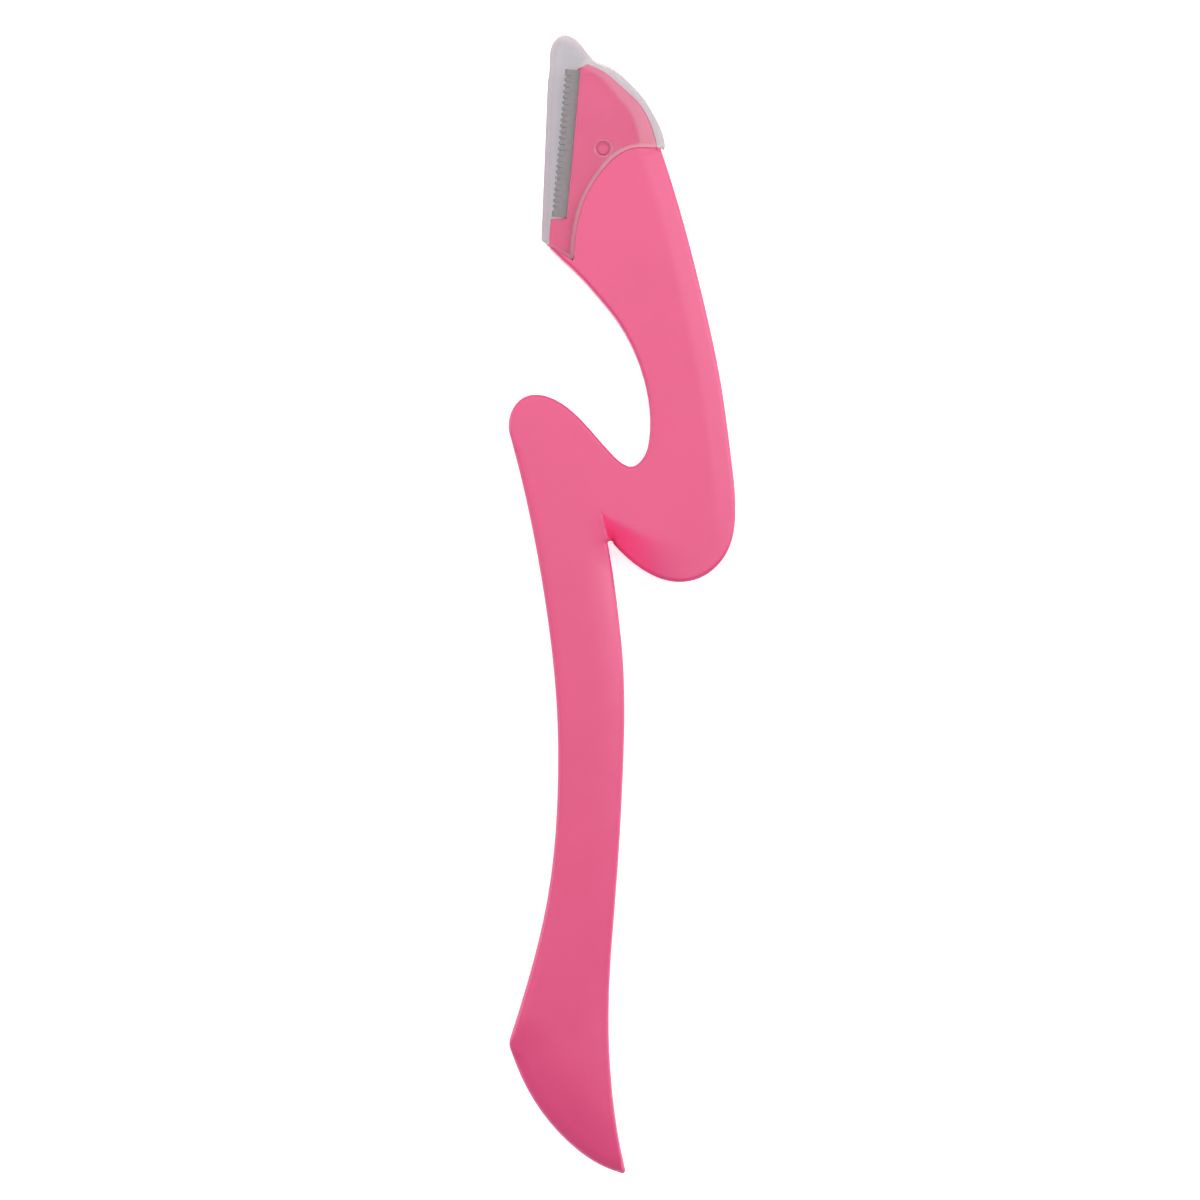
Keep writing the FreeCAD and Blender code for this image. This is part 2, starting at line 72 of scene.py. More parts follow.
WELD = 1e-7                    # metres within which two CAD vertices are one
ON_PLANE = 1e-9                # metres within which a vertex counts as on the cutting plane
SAME_POINT = 1e-4
CURVE_SAMPLES = 4              # points of a curve worked out for each step along it
CORNER_ANGLE = 40              # degrees of turn that make a corner sharp
CORNER_SHARE = 0.25            # of the way to a sharp corner, the most that an inset takes


def level_loops(node, height):
    """Closed loops of (x, y) points where a level plane cuts a CAD node, the longest first."""
    work = bmesh.new()
    work.from_mesh(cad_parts[node].data)
    bmesh.ops.remove_doubles(work, verts=work.verts, dist=WELD)
    everything = work.verts[:] + work.edges[:] + work.faces[:]
    cut = bmesh.ops.bisect_plane(work, geom=everything, dist=ON_PLANE,
                                 plane_co=(0, 0, height * MM), plane_no=(0, 0, 1))
    links = {}
    for edge in cut["geom_cut"]:
        if isinstance(edge, bmesh.types.BMEdge):
            a, b = edge.verts
            links.setdefault(a, []).append(b)
            links.setdefault(b, []).append(a)
    loops = []
    unused = set(links)
    while unused:
        start = min(unused, key=lambda v: (v.co.x, v.co.y))
        loop, here = [start], start
        unused.discard(start)
        while True:
            onward = [v for v in links[here] if v in unused]
            if not onward:
                break
            here = onward[0]
            unused.discard(here)
            loop.append(here)
        loops.append(np.array([(v.co.x / MM, v.co.y / MM) for v in loop]))
    work.free()
    return sorted(loops, key=lambda points: -run_length(points))


def run_length(points):
    return np.linalg.norm(np.diff(points, axis=0), axis=1).sum()


def anticlockwise(points):
    x, y = points.T
    area = np.sum(x * np.roll(y, -1) - y * np.roll(x, -1)) / 2
    return points if area > 0 else points[::-1]


def smooth_run(points, step):
    """A run of points redrawn at even steps on a Catmull-Rom curve through them, ends included."""
    keep = [0]
    for i in range(1, len(points)):
        if np.linalg.norm(points[i] - points[keep[-1]]) > SAME_POINT:
            keep.append(i)
    points = points[keep]
    padded = np.vstack([2 * points[0] - points[1], points, 2 * points[-1] - points[-2]])
    fine = []
    for i in range(1, len(padded) - 2):
        before, a, b, after = padded[i - 1:i + 3]
        gap = np.linalg.norm(b - a)
        leave = (b - before) / max(np.linalg.norm(b - before), TINY) * gap
        arrive = (after - a) / max(np.linalg.norm(after - a), TINY) * gap
        samples = max(2, int(gap / step * CURVE_SAMPLES))
        for t in np.linspace(0, 1, samples, endpoint=False):
            fine.append((2 * t**3 - 3 * t**2 + 1) * a + (t**3 - 2 * t**2 + t) * leave
                        + (3 * t**2 - 2 * t**3) * b + (t**3 - t**2) * arrive)
    fine.append(points[-1])
    fine = np.array(fine)
    travelled = np.concatenate([[0], np.cumsum(np.linalg.norm(np.diff(fine, axis=0), axis=1))])
    count = max(2, int(round(travelled[-1] / step)) + 1)
    even = np.linspace(0, travelled[-1], count)
    return np.column_stack([np.interp(even, travelled, fine[:, k]) for k in (0, 1)])


def sharp_corners(points):
    """Where a closed loop turns sharply, by index."""
    before = points - np.roll(points, 1, axis=0)
    after = np.roll(points, -1, axis=0) - points
    turn = np.arctan2(before[:, 0] * after[:, 1] - before[:, 1] * after[:, 0],
                      (before * after).sum(axis=1))
    return list(np.flatnonzero(np.abs(turn) > math.radians(CORNER_ANGLE)))


def even_loop(points, step):
    """A closed loop, anticlockwise, redrawn in even steps between its sharp corners."""
    points = anticlockwise(points)
    corners = sharp_corners(points) or [0]
    runs = []
    for corner, end in zip(corners, corners[1:] + [corners[0] + len(points)]):
        runs.append(smooth_run(points[np.arange(corner, end + 1) % len(points)], step)[:-1])
    return np.vstack(runs)


class Outline:
    """A closed plan outline, anticlockwise, redrawn in even steps if one is given. inward holds
    each point's direction into it, and room how far the point may move that way."""

    def __init__(self, points, step=None):
        self.points = even_loop(points, step) if step else anticlockwise(points)
        tangent = np.roll(self.points, -1, axis=0) - np.roll(self.points, 1, axis=0)
        tangent /= np.linalg.norm(tangent, axis=1)[:, None]
        self.inward = np.column_stack([-tangent[:, 1], tangent[:, 0]])
        self.room = np.full(len(self.points), np.inf)
        for corner in sharp_corners(self.points):
            away = np.linalg.norm(self.points - self.points[corner], axis=1)
            self.room = np.minimum(self.room, CORNER_SHARE * away)

    def whole(self):
        return Edge(self.points, range(len(self.points)))

    def where(self, wanted):
        """The part of the outline whose points wanted(x, y, inward) picks."""
        x, y = self.points.T
        return Edge(self.points, np.flatnonzero(wanted(x, y, self.inward)))


class Edge:
    """The parts of a closed polyline beside some of its points."""

    def __init__(self, points, members):
        self.points = points
        self.tree = kdtree.KDTree(len(members))
        for i in members:
            self.tree.insert((*points[i], 0), int(i))
        self.tree.balance()

    def distance(self, places):
        """How far each place is from the edge: from the two segments at its nearest point."""
        nearest = np.array([self.tree.find((x, y, 0))[1] for x, y in places])
        best = np.full(len(places), np.inf)
        for other in (-1, 1):
            a = self.points[nearest]
            along = self.points[(nearest + other) % len(self.points)] - a
            length = np.maximum((along**2).sum(axis=1), TINY)
            share = ((places - a) * along).sum(axis=1) / length
            foot = a + np.clip(share, 0, 1)[:, None] * along
            best = np.minimum(best, np.linalg.norm(places - foot, axis=1))
        return best


def inside(loop, places):
    """Which places lie inside a closed loop."""
    result = np.zeros(len(places), bool)
    x, y = places.T
    for (ax, ay), (bx, by) in zip(loop, np.roll(loop, -1, axis=0)):
        crosses = (ay > y) != (by > y)
        if crosses.any():
            at = ax + (y - ay) * (bx - ax) / (by - ay)
            result ^= crosses & (x < at)
    return result


# ---------------------------------------------------------------- meshes

INSETS = (0.012, 0.045, 0.1, 0.18, 0.28, 0.4, 0.54, 0.7, 0.9, 1.15, 1.45, 1.8)
FULL_ROWS = 8                  # rows with a point for each of the outline's; later ones have half
INSET_SHARE = 0.985            # of a row's inset, the least that its points keep from the outline
GRID_ROW = 0.87                # of the grid's spacing, from one of its rows to the next
GRID_CLEAR = 0.4               # of the grid's spacing, left between it and the last row
ALL_INSIDE = 1                 # of delaunay_2d_cdt: triangles over the inside of the edges
PLAN_WELD = 1e-5
MESH_WELD = 2e-7               # metres
SMOOTH_ANGLE = 38              # degrees between faces, above which their edge is drawn sharp


def plan_points(outline, spacing, extra=(), insets=INSETS):
    """Points over an outline's inside: rows along its edge, then an even grid, then the extra
    lines, each with the space that it keeps clear of the other points."""
    whole = outline.whole()
    rows = []
    for row, inset in enumerate(insets):
        step = 1 if row < FULL_ROWS else 2
        moved = (outline.points + inset * outline.inward)[::step]
        rows.append(moved[whole.distance(moved) > INSET_SHARE * inset])
    low, high = outline.points.min(axis=0), outline.points.max(axis=0)
    grid = []
    for j, y in enumerate(np.arange(low[1], high[1], spacing * GRID_ROW)):
        for x in np.arange(low[0] + (j % 2) * spacing / 2, high[0], spacing):
            grid.append((x, y))
    grid = np.array(grid)
    grid = grid[inside(outline.points, grid)]
    grid = grid[whole.distance(grid) > insets[-1] + GRID_CLEAR * spacing]
    places = np.vstack(rows + [grid])
    places = places[inside(outline.points, places)]
    for line, clear in extra:
        gap = Edge(line, range(len(line))).distance(places)
        places = places[gap > clear]
    return np.vstack([places] + [line for line, clear in extra])


def triangulated(points, edges):
    """(points, faces, where each point came from), over the inside of closed edges."""
    made = geometry.delaunay_2d_cdt([Vector(p) for p in points], edges, [], ALL_INSIDE, PLAN_WELD)
    return made[0], made[2], made[3]


def triangles_over(outline, places, cuts=()):
    """(points, triangles) over an outline. Its own points come first. Each cut is a list of
    points to join."""
    points = [tuple(p) for p in outline.points]
    count = len(points)
    edges = [(i, (i + 1) % count) for i in range(count)]
    points += [tuple(p) for p in places]
    for cut in cuts:
        first = len(points)
        points += [tuple(p) for p in cut]
        edges += [(first + i, first + i + 1) for i in range(len(cut) - 1)]
    made, faces, came_from = triangulated(points, edges)
    place = np.array([(v.x, v.y) for v in made])
    order = sorted(range(len(place)), key=lambda i: min(came_from[i], default=len(points)))
    rank = {old: new for new, old in enumerate(order)}
    return place[order], [tuple(rank[i] for i in face) for face in faces]


def flat_fill(points):
    """Triangles, by index, over one closed loop of points."""
    count = len(points)
    edges = [(i, (i + 1) % count) for i in range(count)]
    made, faces, came_from = triangulated(points, edges)
    if len(made) != count:
        raise RuntimeError("a flat loop crosses itself")
    return [tuple(face) for face in faces]


def new_piece(name, vertices, faces, material, marks=None):
    """A piece made from a mesh in millimetres. marks holds its vertex attributes, by name."""
    mesh = bpy.data.meshes.new(name)
    mesh.from_pydata([Vector(v) * MM for v in vertices], [], faces)
    for mark, values in (marks or {}).items():
        mesh.attributes.new(mark, "FLOAT", "POINT").data.foreach_set("value", values)
    work = bmesh.new()
    work.from_mesh(mesh)
    bmesh.ops.remove_doubles(work, verts=work.verts, dist=MESH_WELD)
    bmesh.ops.dissolve_degenerate(work, edges=work.edges, dist=MESH_WELD)
    bmesh.ops.recalc_face_normals(work, faces=work.faces)
    work.to_mesh(mesh)
    work.free()
    mesh.shade_smooth()
    mesh.set_sharp_from_angle(angle=math.radians(SMOOTH_ANGLE))
    mesh.materials.append(material)
    piece = bpy.data.objects.new(name, mesh)
    bpy.context.scene.collection.objects.link(piece)
    return piece


def half_solid(name, outline, places, height, steps, material, cuts=(), painted_crease_shade=None):
    """A closed piece. Its face is height(plan places) over the outline, its side follows steps,
    each an (inset, z), from the face's edge, and its other face is flat at the last step.
    crevice(plan places), where given, gives the face's painted crease shade, kept as a vertex
    mark."""
    plan, faces = triangles_over(outline, places, cuts)
    rim = len(outline.points)
    top = height(plan)
    upwards = top[:rim].mean() > steps[-1][1]
    vertices = [(x, y, z) for (x, y), z in zip(plan, top)]
    faces = [face if upwards else face[::-1] for face in faces]
    above = list(range(rim))
    for inset, z in steps:
        below = list(range(len(vertices), len(vertices) + rim))
        moved = outline.points + np.minimum(inset, outline.room)[:, None] * outline.inward
        vertices += [(x, y, z) for x, y in moved]
        for i in range(rim):
            j = (i + 1) % rim
            faces.append((above[i], below[i], below[j], above[j]))
        above = below
    last = [vertices[i][:2] for i in above]
    faces += [tuple(above[i] for i in face) for face in flat_fill(last)]
    marks = None
    if painted_crease_shade:
        marks = {"painted_crease_shade": list(painted_crease_shade(plan)) + [0.0] * (len(vertices) - len(plan))}
    return new_piece(name, vertices, faces, material, marks=marks)


def rounded(distance, radius, drop):
    """Height lost beside an edge: a quarter ellipse, drop deep at the edge and none at radius."""
    t = np.clip(1 - distance / radius, 0, 1)
    return drop * (1 - np.sqrt(1 - t * t))


def fading(distance, width):
    """1 at an edge, and 0 at width from it."""
    return np.clip(1 - distance / width, 0, 1)**2


def ease(value, start, end):
    """0 before start, 1 after end, smooth between them."""
    t = np.clip((value - start) / (end - start), 0, 1)
    return t * t * (3 - 2 * t)


# ---------------------------------------------------------------- materials

REAR_TINT_TOP = 1.22           # heights between which the cap's tint changes from the rear half's painted shade to clear, below its cavity
FRONT_TINT_BASE = 1.36
CLEAR_COVER = 0.02             # share of milky plastic where the cap is clearest
MILK_COVER = 0.2               # and what thick places, slants and the outer wall add to it
SLANT_COVER = 0.1
WALL_COVER = 0.25
FLOOR_GLOW = 0.75
COLOUR_A, COLOUR_B = 6, 7      # a Mix node's colour sockets, by place
COLOUR_RESULT = 2


def new_material(name):
    material = bpy.data.materials.new(name)
    material.use_nodes = True
    nodes = material.node_tree.nodes
    return material, nodes, material.node_tree.links, nodes["Principled BSDF"]


def noise(nodes, links, scale, detail=2.0, stretch=(1, 1, 1)):
    """Object-space noise, scale in cycles per metre."""
    place = nodes.new("ShaderNodeTexCoord")
    mapping = nodes.new("ShaderNodeMapping")
    mapping.inputs["Scale"].default_value = stretch
    texture = nodes.new("ShaderNodeTexNoise")
    texture.inputs["Scale"].default_value = scale
    texture.inputs["Detail"].default_value = detail
    links.new(place.outputs["Object"], mapping.inputs["Vector"])
    links.new(mapping.outputs["Vector"], texture.inputs["Vector"])
    return texture


def ramp(nodes, links, source, stops):
    """The colour output of a ramp over a noise. stops are (position, (r, g, b))."""
    made = nodes.new("ShaderNodeValToRGB")
    elements = made.color_ramp.elements
    while len(elements) < len(stops):
        elements.new(0.5)
    for element, (position, colour) in zip(elements, stops):
        element.position = position
        element.color = (*colour, 1)
    links.new(source, made.inputs["Fac"])
    return made.outputs["Color"]


def grey(value):
    return (value,) * 3


def bump(nodes, links, source, strength, distance, shader, after=None):
    made = nodes.new("ShaderNodeBump")
    made.inputs["Strength"].default_value = strength
    made.inputs["Distance"].default_value = distance
    links.new(source, made.inputs["Height"])
    if after:
        links.new(after.outputs["Normal"], made.inputs["Normal"])
    links.new(made.outputs["Normal"], shader.inputs["Normal"])
    return made


def blend(nodes, links, share, a, b):
    """A colour between a and b, each a colour or a socket."""
    made = nodes.new("ShaderNodeMix")
    made.data_type = "RGBA"
    links.new(share, made.inputs["Factor"])
    for socket, value in zip(made.inputs[COLOUR_A:COLOUR_B + 1], (a, b)):
        if isinstance(value, tuple):
            socket.default_value = (*value, 1)
        else:
            links.new(value, socket)
    return made.outputs[COLOUR_RESULT]


def multiplied(nodes, links, a, b):
    """The product of two colour sockets."""
    made = nodes.new("ShaderNodeMix")
    made.data_type = "RGBA"
    made.blend_type = "MULTIPLY"
    made.inputs["Factor"].default_value = 1.0
    links.new(a, made.inputs[COLOUR_A])
    links.new(b, made.inputs[COLOUR_B])
    return made.outputs[COLOUR_RESULT]


def attribute(nodes, name):
    made = nodes.new("ShaderNodeAttribute")
    made.attribute_name = name
    return made.outputs["Fac"]


def arithmetic(nodes, links, operation, a, b):
    """A sum, product or power of a and b, each a number or a socket."""
    made = nodes.new("ShaderNodeMath")
    made.operation = operation
    for socket, value in zip(made.inputs, (a, b)):
        if isinstance(value, (int, float)):
            socket.default_value = value
        else:
            links.new(value, socket)
    return made.outputs[0]


def pink_plastic():
    """Satin pink plastic, with painted shade: a deeper red where the mesh's "crevice" marks the
    shaded crease below the lobe.
    """
    material, nodes, links, shader = new_material("pink_plastic")
    clouds = noise(nodes, links, 90, 3)
    colour = ramp(nodes, links, clouds.outputs["Fac"],
                  [(0.3, (0.655, 0.059, 0.182)), (0.7, (0.68, 0.064, 0.194))])
    # painted shade: a deeper, redder pink in the crease below the lobe, standing in for its shadow
    # and the pink light bounced off the stem
    crease_shaded_colour = blend(nodes, links, attribute(nodes, "painted_crease_shade"), colour, (0.93, 0.044, 0.18))
    links.new(crease_shaded_colour, shader.inputs["Base Color"])
    grain = noise(nodes, links, 9000, 2)
    gloss = ramp(nodes, links, grain.outputs["Fac"], [(0.3, grey(0.31)), (0.7, grey(0.39))])
    links.new(gloss, shader.inputs["Roughness"])
    fine = bump(nodes, links, grain.outputs["Fac"], 0.12, 0.00004, shader)
    waves = noise(nodes, links, 160, 1)
    bump(nodes, links, waves.outputs["Fac"], 0.1, 0.0004, shader, after=fine)
    shader.inputs["Specular IOR Level"].default_value = 0.6
    return material


def frosted_plastic():
    """Thin milky plastic. Its rear half lets less light through, a painted shade over what is seen
    through the cap's back. The mesh's "milk" marks thick places and a painted sheen over the
    head's back facet, its "rim" painted shade along the crown's edge, its "wall" the frosted outer
    wall, and its "calm" the cavity's wall, which isn't darkened for its slant."""
    material, nodes, links, shader = new_material("frosted_plastic")
    clouds = noise(nodes, links, 260, 3)
    colour = ramp(nodes, links, clouds.outputs["Fac"],
                  [(0.3, (0.45, 0.445, 0.455)), (0.7, (0.49, 0.485, 0.495))])
    milk_and_sheen = attribute(nodes, "milk_and_sheen")
    links.new(blend(nodes, links, milk_and_sheen, colour, (0.80, 0.76, 0.78)), shader.inputs["Base Color"])
    grain = noise(nodes, links, 12000, 2)
    gloss = ramp(nodes, links, grain.outputs["Fac"], [(0.3, grey(0.30)), (0.7, grey(0.42))])
    links.new(gloss, shader.inputs["Roughness"])
    bump(nodes, links, grain.outputs["Fac"], 0.1, 0.00003, shader)

    place = nodes.new("ShaderNodeTexCoord")
    parts = nodes.new("ShaderNodeSeparateXYZ")
    links.new(place.outputs["Object"], parts.inputs["Vector"])
    height = nodes.new("ShaderNodeMapRange")
    height.inputs["From Min"].default_value = REAR_TINT_TOP * MM
    height.inputs["From Max"].default_value = FRONT_TINT_BASE * MM
    links.new(parts.outputs["Z"], height.inputs["Value"])
    # painted shade: the rear half lets through only about half the light, standing in for the
    # shade seen through the cap's back, and less still, in mauve, by the crown's edge
    rim = attribute(nodes, "rim")
    rear_shade_tint = blend(nodes, links, rim, (0.50, 0.50, 0.52), (0.465, 0.41, 0.44))
    tint = blend(nodes, links, height.outputs["Result"], rear_shade_tint, (1.0, 0.99, 0.995))
    mottled = blend(nodes, links, clouds.outputs["Fac"], grey(0.985), grey(1.0))
    facing = nodes.new("ShaderNodeLayerWeight")
    facing.inputs["Blend"].default_value = 0.5
    steep = arithmetic(nodes, links, "POWER", facing.outputs["Facing"], 2.0)
    outside = arithmetic(nodes, links, "SUBTRACT", 1.0, attribute(nodes, "calm"))
    steep = arithmetic(nodes, links, "MULTIPLY", steep, outside)
    shaded = blend(nodes, links, steep, grey(1.0), (0.74, 0.71, 0.73))
    through = multiplied(nodes, links, multiplied(nodes, links, tint, mottled), shaded)

    # the milk mark carries both thick plastic and the painted sheen over the head's back facet
    milk_and_sheen_cover = arithmetic(nodes, links, "MULTIPLY", milk_and_sheen, MILK_COVER)
    slanted = arithmetic(nodes, links, "MULTIPLY", steep, SLANT_COVER)
    beside = arithmetic(nodes, links, "MULTIPLY", attribute(nodes, "wall"), WALL_COVER)
    cover = arithmetic(nodes, links, "ADD", milk_and_sheen_cover, slanted)
    cover = arithmetic(nodes, links, "ADD", cover, CLEAR_COVER)
    cover = arithmetic(nodes, links, "ADD", cover, beside)
    clear = nodes.new("ShaderNodeBsdfTransparent")
    links.new(through, clear.inputs["Color"])
    mixed = nodes.new("ShaderNodeMixShader")
    links.new(cover, mixed.inputs["Fac"])
    links.new(clear.outputs["BSDF"], mixed.inputs[1])
    links.new(shader.outputs["BSDF"], mixed.inputs[2])
    links.new(mixed.outputs["Shader"], nodes["Material Output"].inputs["Surface"])
    return material


def steel(name, light, dark, roughness):
    """Steel with fine grinding lines across the strip."""
    material, nodes, links, shader = new_material(name)
    lines = noise(nodes, links, 1500, 3, stretch=(0.08, 4, 1))
    stops = [(position, (value, 0.96 * value, 0.98 * value))
             for position, value in ((0.3, dark), (0.7, light))]
    links.new(ramp(nodes, links, lines.outputs["Fac"], stops), shader.inputs["Base Color"])
    gloss = ramp(nodes, links, lines.outputs["Fac"],
                 [(0.2, grey(roughness - 0.08)), (0.8, grey(roughness + 0.08))])
    links.new(gloss, shader.inputs["Roughness"])
    bump(nodes, links, lines.outputs["Fac"], 0.15, 0.00002, shader)
    shader.inputs["Metallic"].default_value = 1.0
    return material


def floor_material():
    """White, with a little light of its own."""
    material, nodes, links, shader = new_material("pale_floor")
    clouds = noise(nodes, links, 6, 2)
    colour = ramp(nodes, links, clouds.outputs["Fac"], [(0.3, grey(0.93)), (0.7, grey(0.95))])
    links.new(colour, shader.inputs["Base Color"])
    links.new(colour, shader.inputs["Emission Color"])
    shader.inputs["Emission Strength"].default_value = FLOOR_GLOW
    shader.inputs["Roughness"].default_value = 0.9
    shader.inputs["Specular IOR Level"].default_value = 0.1
    return material


PINK = pink_plastic()
FROSTED = frosted_plastic()
BLADE_STEEL = steel("blade_steel", 0.23, 0.19, 0.38)
GUARD_STEEL = steel("guard_steel", 0.215, 0.18, 0.42)


# ---------------------------------------------------------------- handle

OUTLINE_LEVEL = 0.4            # of the rear shell's height, where its outline is read
OUTLINE_STEP = 0.25
EDGE_RADIUS = 0.5
SHOULDER_RADIUS = 0.08         # of the edge beside the cap's mouth
SHOULDER_FOOT = (-6.55, 44.95)
HEEL_REACH = 2.9               # how far left of its foot the shoulder's edge goes on
LEAST_EDGE = 0.3               # the front's lowest height above the parting plane
PART_GROOVE = ((0.0, 0.16), (0.03, 0.07), (0.1, 0.0))   # (inset, height off the parting plane)

NECK_START, NECK_LENGTH, NECK_TAPER = 32, 32, 0.9       # of the faces, towards the head
TAIL_START, TAIL_LENGTH, TAIL_TAPER = -60, 19, 1.0      # and towards the tail

# the front's slopes, each with its width beside an edge, and its gradient or its drop at the edge
LIMB_FACET_WIDTH, LIMB_FACET_GRADIENT = 2.9, 0.17
STEM_RIGHT_WIDTH, STEM_RIGHT_DROP = 4.5, 0.85
STEM_LEFT_WIDTH, STEM_LEFT_DROP = 1.5, 0.17
TAIL_WIDTH, TAIL_DROP = 7.0, 0.85
FIN_WIDTH, FIN_GRADIENT = 1.35, 0.2
CREASE_WIDTH, CREASE_DROP = 0.25, 0.3
UNDERSIDE_DEPTH, UNDERSIDE_POWER = 1.6, 1.35

# the step between stem and lobe, from the notch up, and the ridge above the lobe's underside
NOTCH = np.array((-1.72, 8.5))
CREASE_END = np.array((-2.72, 12.5))
CREASE_POINTS = 22
CREASE_SIDES = (-0.03, 0.03)   # offsets of the two lines that the step lies between
CREASE_ROWS = (-0.9, -0.6, -0.38, -0.2, 0.2, 0.45, 0.8)
ROW_CLEAR, SIDE_CLEAR = 0.1, 0.08                       # kept clear of other points beside them
RIDGE = np.array([(-2.72, 12.5), (-0.8, 11.0), (1.45, 9.95), (3.65, 9.1), (5.9, 8.5), (9.3, 8.1),
                  (13.5, 8.6)])


def face_taper(y):
    """How far each face of the handle falls away towards the head and towards the tail."""
    neck = NECK_TAPER * np.clip((y - NECK_START) / NECK_LENGTH, 0, 1)**2
    tail = TAIL_TAPER * np.clip((TAIL_START - y) / TAIL_LENGTH, 0, 1)**2
    return neck + tail


def crease_line(offset):
    """Points beside the step between stem and lobe, offset to its right, from the notch up."""
    along = CREASE_END - NOTCH
    right = np.array((along[1], -along[0])) / np.linalg.norm(along)
    shares = np.linspace(0, 1, CREASE_POINTS)
    return np.array([NOTCH + t * along + offset * right for t in shares])


def right_of_crease(places):
    along = CREASE_END - NOTCH
    away = places - NOTCH
    return along[0] * away[:, 1] - along[1] * away[:, 0] < 0


def handle_outline():
    return Outline(level_loops("handle_rear_shell", OUTLINE_LEVEL * MIDDLE)[0], OUTLINE_STEP)


def front_height(outline):
    """The front's height over plan places, with its facet, its crease and its bevelled fin, and
    how much painted shade each place takes in the crease below the lobe's ridge, from 0 to 1."""
    left, foot = SHOULDER_FOOT

    def on_shoulder(x, y, inward):
        beside = (y > foot + 0.1) & (x > left - HEEL_REACH) & (x < 5.0)
        return beside & (inward[:, 1] < 0.35) & (inward[:, 0] > -0.6)

    shoulder = outline.where(on_shoulder)
    rest = outline.where(lambda x, y, inward: ~on_shoulder(x, y, inward))
    limb = outline.where(lambda x, y, inward: (x > 4.5) & (y > 6) & (inward[:, 0] < -0.5))
    stem_right = outline.where(lambda x, y, inward: (x < 1) & (y < 8) & (inward[:, 0] < -0.8))
    stem_left = outline.where(lambda x, y, inward: (y > -57) & (y < 20) & (inward[:, 0] > 0.8))
    lobe = outline.where(
        lambda x, y, inward: (x > -1.9) & (y > 2) & (y < 8.6) & (inward[:, 1] > 0.1))
    belly = outline.where(lambda x, y, inward: (y < -60.5) & (inward[:, 1] > 0.35))
    ridge_points = smooth_run(RIDGE, 0.2)
    ridge = Edge(ridge_points, range(len(ridge_points)))
    crease_points = crease_line(0.0)
    crease = Edge(crease_points, range(len(crease_points)))

    def height(places):
        x, y = places.T
        top = FRONT_TOP - face_taper(y)
        to_rest = rest.distance(places)

        # the flat facet down the outside of the upper limb
        facet = np.clip(LIMB_FACET_WIDTH - limb.distance(places), 0, None)
        facet = facet * LIMB_FACET_GRADIENT * ease(y, 4, 12)
        # the stem's soft slope to its right edge, with the crease as that edge above the notch
        to_right = np.minimum(stem_right.distance(places), crease.distance(places))
        slope = STEM_RIGHT_DROP * fading(to_right, STEM_RIGHT_WIDTH) * ease(-y, -13, -4)
        slope_left = STEM_LEFT_DROP * fading(stem_left.distance(places), STEM_LEFT_WIDTH)
        # the tail's broad bevel along its belly, and the narrow one at its edge
        to_belly = belly.distance(places)
        tail = TAIL_DROP * fading(to_belly, TAIL_WIDTH)
        fin = FIN_GRADIENT * np.clip(FIN_WIDTH - to_belly, 0, None) + tail

        # the lobe's underside, which falls away towards the notch
        to_lobe, to_ridge = lobe.distance(places), ridge.distance(places)
        ridge_y = np.interp(x, RIDGE[:, 0], RIDGE[:, 1])
        share = np.where(y < ridge_y, to_ridge / (to_ridge + to_lobe + TINY), 0)
        depth = UNDERSIDE_DEPTH * (1 - ease(x, -3.0, 10.0))
        underside = depth * share**UNDERSIDE_POWER

        at_crease = rounded(crease.distance(places), CREASE_WIDTH, CREASE_DROP)
        at_crease = np.minimum(ease(y, NOTCH[1] - 1.0, NOTCH[1]) * at_crease, underside)
        stem_top = top - facet - slope - slope_left - at_crease
        lobe_side = right_of_crease(places) & (y > 2)
        base = np.where(lobe_side, top - facet - underside, stem_top)

        rounding = rounded(to_rest, EDGE_RADIUS, EDGE_RADIUS)
        beside_cap = rounded(shoulder.distance(places), SHOULDER_RADIUS, SHOULDER_RADIUS)
        face = base - fin - np.maximum(rounding, beside_cap)
        # painted shade for the crease below the lobe's ridge: little on the ridge, full from 0.7
        # below it, fading out towards the lobe's right
        below_ridge = np.where(y < ridge_y, to_ridge, -to_ridge)
        depth = ease(below_ridge, -0.3, 0.7) * (1 - ease(x, -2.0, 7.0))
        return np.maximum(face, MIDDLE + LEAST_EDGE), np.where(lobe_side, depth, 0)

    return height


def front_shell(outline):
    cuts = [crease_line(offset) for offset in CREASE_SIDES]
    lines = [(crease_line(offset)[1:], ROW_CLEAR) for offset in CREASE_ROWS]
    places = plan_points(outline, spacing=0.6, extra=lines)
    for cut in cuts:
        gap = Edge(cut, range(len(cut))).distance(places)
        places = places[gap > SIDE_CLEAR]
    places = places[inside(outline.points, places)]
    cuts = [cut[inside(outline.points, cut)] for cut in cuts]
    steps = [(inset, MIDDLE + up) for inset, up in PART_GROOVE]
    height = front_height(outline)
    # the height function's second output is the painted crease shade, kept on the face's vertices
    piece = half_solid("handle_front", outline, places, lambda p: height(p)[0], steps, PINK, cuts,
                       painted_crease_shade=lambda p: height(p)[1])
    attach(piece, "handle")
    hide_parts("handle_front_shell")


def rear_shell(outline):
    whole = outline.whole()

    def height(places):
        low = face_taper(places[:, 1])
        return low + rounded(whole.distance(places), 2 * EDGE_RADIUS, 2 * EDGE_RADIUS)

    places = plan_points(outline, spacing=0.8)
    steps = [(inset, MIDDLE - up) for inset, up in PART_GROOVE]
    piece = half_solid("handle_rear", outline, places, height, steps, PINK)
    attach(piece, "handle")
    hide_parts("handle_rear_shell")


# ---------------------------------------------------------------- front plate of the head

